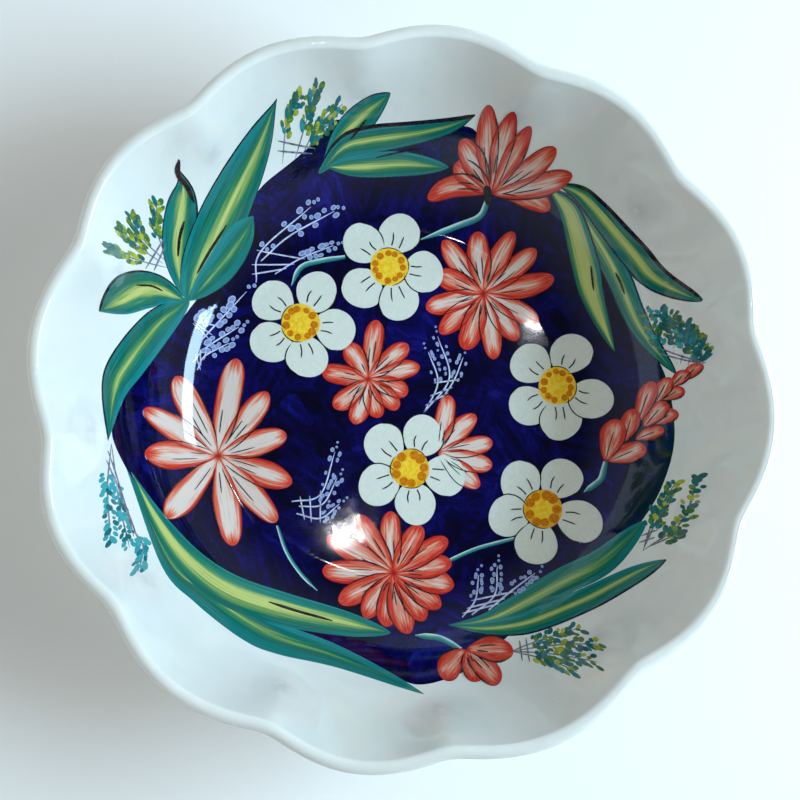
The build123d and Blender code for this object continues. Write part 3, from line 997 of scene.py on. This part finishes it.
def daisy_petals(painting, liner, centre, turns, chance):
    """Round petals about a centre, each with two short lines at its root and one on its edge."""
    around = circle(DAISY_MESH[0])
    # a petal narrows to where it grows from the disc
    narrowing = 1 - 0.10 * np.maximum(0, -np.cos(around)) * np.abs(np.sin(around))
    for order, turn in enumerate(np.radians(turns)):
        direction, left = heading(turn), heading(turn + pi / 2)
        middle = centre + direction * DAISY_REACH
        phase = chance.uniform(0, 2 * pi)
        uneven = 1 + 0.035 * np.sin(2 * around + phase) + 0.02 * np.sin(3 * around + 2 * phase)
        reach = DAISY_PETAL * uneven * narrowing
        ring = outline(middle, turn, reach * np.cos(around), reach * np.sin(around))
        painting.patch(ring, middle, DAISY_MESH[1], DAISY_LIFT + STROKE_RISE * order, order)
        for side, gap in ((-1, 0.9), (1, 1.1)):
            near = centre + direction * (DAISY_DISC + gap) + left * side * 1.7
            far = near + direction * chance.uniform(4.6, 6.0) + left * side * chance.uniform(0.2, 1.2)
            bend = (near + far) / 2 + left * side * chance.uniform(-0.5, 0.6)
            liner.line((near, bend, far), 0.55, LINER_LIFT, 10, taper=(1.0, 0.15))
        first = 34 if order % 2 else 30
        liner.line(ring[first:first + 20:4], 0.5, LINER_LIFT, 16, taper=(0.2, 0.2))


def daisy_disc(painting, liner, centre, tint, number, chance):
    """A slightly uneven disc, lined along three short parts of its edge."""
    around = circle(DISC_MESH[0])
    reach = DAISY_DISC * (1 + 0.02 * np.sin(3 * around + number))
    ring = outline(centre, 0, reach * np.cos(around), reach * np.sin(around))
    painting.patch(ring, centre, DISC_MESH[1], DISC_LIFT, tint)
    for first in chance.randint(0, DISC_MESH[0], 3):
        part = np.roll(ring, -first, axis=0)[:12:3]
        liner.line(centre + (part - centre) * 1.02, 0.4, LINER_LIFT, 14)


def disc_dabs(dabs, centre, rusty, chance):
    """A ring of dabs, fewer and larger on a rusty disc."""
    spots = 9 if rusty > 0.5 else 11
    for spot in range(spots):
        turn = 2 * pi * spot / spots + chance.uniform(-0.14, 0.14)
        out = DAISY_DISC * chance.uniform(0.71, 0.77)
        size = chance.uniform(1.3, 1.65) + 0.5 * rusty
        lift = LINER_LIFT + STROKE_RISE * (spot % 3)
        dabs.dot(centre + out * heading(turn), size, lift, turn, chance.uniform(0.85, 1.1))


def daisies(liner):
    white, yellow = daisy_white(), disc_yellow()
    orange = clouded("dab_orange", 0.9, 0.3, (0.50, 0.14, 0.004), (0.70, 0.24, 0.010))
    chance = np.random.RandomState(3)
    dabs = Painting()
    for number, (centre, rusty, turns) in enumerate(DAISIES, 1):
        centre = np.array(centre, float)
        petals, disc = Painting(), Painting()
        daisy_petals(petals, liner, centre, turns, chance)
        petals.piece(f"daisy_{number}", white, "white_colour", "white_daisies")
        daisy_disc(disc, liner, centre, number + SHARE_LIMIT * rusty, number, chance)
        disc.piece(f"daisy_disc_{number}", yellow, "yellow_colour", "yellow_daisy_discs")
        disc_dabs(dabs, centre, rusty, chance)
    dabs.piece("daisy_disc_dabs", orange, "yellow_colour")


def stems():
    painting = Painting()
    for points, width in STEMS:
        painting.line(points, width, STEM_LIFT, 30, taper=(0.15, 0.7))
    painting.piece("flower_stems", stem_teal(), "green_colour")


def rungs(painting, stems, places, width, beyond):
    """Cross lines over a sprig's stems, at the same share of the way up each."""
    for place in places:
        crossed = [smooth(stem, 21)[int(20 * place)] for stem in stems]
        way = unit(crossed[-1] - crossed[0])
        painting.line((crossed[0] - way * beyond, crossed[-1] + way * beyond), width, STEM_LIFT, 6)


def dot_stem(dots, stem, size, chance):
    """Dots scattered on both sides of a stem's upper half, and two beyond its tip."""
    path = smooth(stem, STEM_PLACES)
    side = leftward(path)
    for step in range(22, STEM_PLACES, 3):
        along = side[step][::-1] * (1, -1)
        for way in (-1, 1):
            if chance.uniform() < 0.7:
                out = way * chance.uniform(1.1, 2.3)
                spot = path[step] + side[step] * out + along * chance.uniform(-0.6, 0.6)
                radius = size * chance.uniform(0.7, 1.15)
                lift = STEM_LIFT + STROKE_RISE * (step % 4)
                dots.dot(spot, radius, lift, atan2(along[1], along[0]), chance.uniform(1.0, 1.6))
    along = side[-1][::-1] * (1, -1)
    for beyond in (2.2, 4.2):
        dots.dot(path[-1] + along * beyond + side[-1] * chance.uniform(-0.8, 0.8), 0.7 * size, STEM_LIFT)


def leaf_stem(dabs, stem, green, chance):
    """Small leaves set by turns on the two sides of a stem."""
    path = smooth(stem, STEM_PLACES)
    side = leftward(path)
    for step in range(14, STEM_PLACES):
        way = 1 if step % 2 else -1
        along = side[step][::-1] * (1, -1)
        spot = path[step] + side[step] * way * chance.uniform(0.3, 1.9)
        tone = min(max(green + chance.uniform(-0.45, 0.4), 0), 1)
        turn = atan2(along[1], along[0]) + way * 0.5
        lift = LEAF_LIFT + STROKE_RISE * (step % 4)
        dabs.dot(spot, chance.uniform(0.5, 0.9), lift, turn, chance.uniform(1.2, 2.2), tone)


def sprigs_on_blue():
    lines, dots = Painting(), Painting()
    chance = np.random.RandomState(21)
    for size, sprig in BLUE_SPRIGS:
        for stem in sprig:
            lines.line(stem, 0.6, STEM_LIFT, 20, taper=(0.7, 0.3))
            dot_stem(dots, stem, size, chance)
        rungs(lines, sprig, (0.16, 0.34, 0.5), 0.55, 1.8)
    white = clouded("sprig_white", 0.35, 0.3, (0.40, 0.44, 0.74), (0.66, 0.72, 0.86))
    lines.piece("blue_side_sprig_stems", white, "white_colour")
    dots.piece("blue_side_sprig_dots", sprig_dot(), "white_colour")


def sprigs_on_white():
    lines, dabs = Painting(), Painting()
    chance = np.random.RandomState(8)
    for green, sprig in WHITE_SPRIGS:
        for stem in sprig:
            lines.line(stem, 0.5, GROUND_LIFT, 20)
            leaf_stem(dabs, stem, green, chance)
        rungs(lines, sprig, (0.15, 0.28), 0.5, 2.5)
    pale = clouded("pale_stem", 0.5, 0.3, (0.09, 0.10, 0.13), (0.28, 0.30, 0.38))
    lines.piece("white_side_sprig_stems", pale, "white_colour")
    dabs.piece("white_side_sprig_leaves", sprig_green(), "green_colour")


def liner_piece(liner):
    black = clouded("liner_black", 0.8, 0.35, (0.006, 0.007, 0.010), (0.028, 0.026, 0.032))
    liner.piece("liner_strokes", black, "white_colour")


# ======== room, light and camera ========

def floor():
    corners = [(x * FLOOR_REACH, y * FLOOR_REACH, 0) for x, y in ((-1, -1), (1, -1), (1, 1), (-1, 1))]
    mesh = bpy.data.meshes.new("floor")
    mesh.from_pydata(corners, [], [(0, 1, 2, 3)])
    made = linked("floor", mesh)
    nodes = Nodes("floor")
    cloud = nodes.noise(nodes.place(), 0.004, 2)
    colour = nodes.mix(cloud, (0.90, 0.90, 0.90), (0.93, 0.93, 0.93))
    made.data.materials.append(nodes.surface(colour, 0.8))


def world():
    """Pale all round and dim overhead."""
    made = bpy.data.worlds.new("studio")
    nodes = Nodes("studio", made)
    where = nodes.add("ShaderNodeTexCoord").outputs["Generated"]
    height = nodes.add("ShaderNodeSeparateXYZ", {0: where}).outputs[2]
    background = nodes.tree.nodes["Background"]
    nodes.put(background.inputs["Color"], nodes.ramp(height, *SKY))
    nodes.put(background.inputs["Strength"], SKY_STRENGTH)
    bpy.context.scene.world = made


def lamp(name, direction, distance, size, power, colour, mirrored):
    """A soft rectangular light in that direction from the bowl, facing it."""
    data = bpy.data.lights.new(name, "AREA")
    data.shape = "RECTANGLE"
    data.size, data.size_y = size
    data.energy = power
    data.color = colour
    made = linked(name, data)
    way = Vector(direction).normalized()
    made.location = Vector(LAMP_AIM) + way * distance
    made.rotation_euler = way.to_track_quat("Z", "Y").to_euler()
    made.visible_glossy = mirrored


def camera():
    """Above the bowl and a little to its lower left, looking down at its middle, with +Y upward."""
    data = bpy.data.cameras.new("camera")
    data.sensor_width = CAMERA_SENSOR
    data.lens = CAMERA_LENS
    made = linked("camera", data)
    place = Vector(CAMERA_PLACE)
    forward = (Vector(CAMERA_AIM) - place).normalized()
    right = forward.cross(Vector((0, 1, 0))).normalized()
    up = right.cross(forward)
    turn = Matrix((right, up, -forward)).transposed()
    made.matrix_world = Matrix.Translation(place) @ turn.to_4x4()
    bpy.context.scene.camera = made


camera()
world()
for settings in LAMPS:
    lamp(*settings)
floor()
clay()
glaze = white_glaze()
inner_coat(glaze)
outer_coat(glaze)
base_coat(glaze)
ground()
liner = Painting()  # each flower and leaf adds its dark lines, so it is made into a piece last
leaves(liner)
free_strokes(liner)
blooms(liner)
daisies(liner)
stems()
sprigs_on_blue()
sprigs_on_white()
liner_piece(liner)

bpy.context.scene.view_settings.view_transform = "Standard"
bpy.context.view_layer.update()
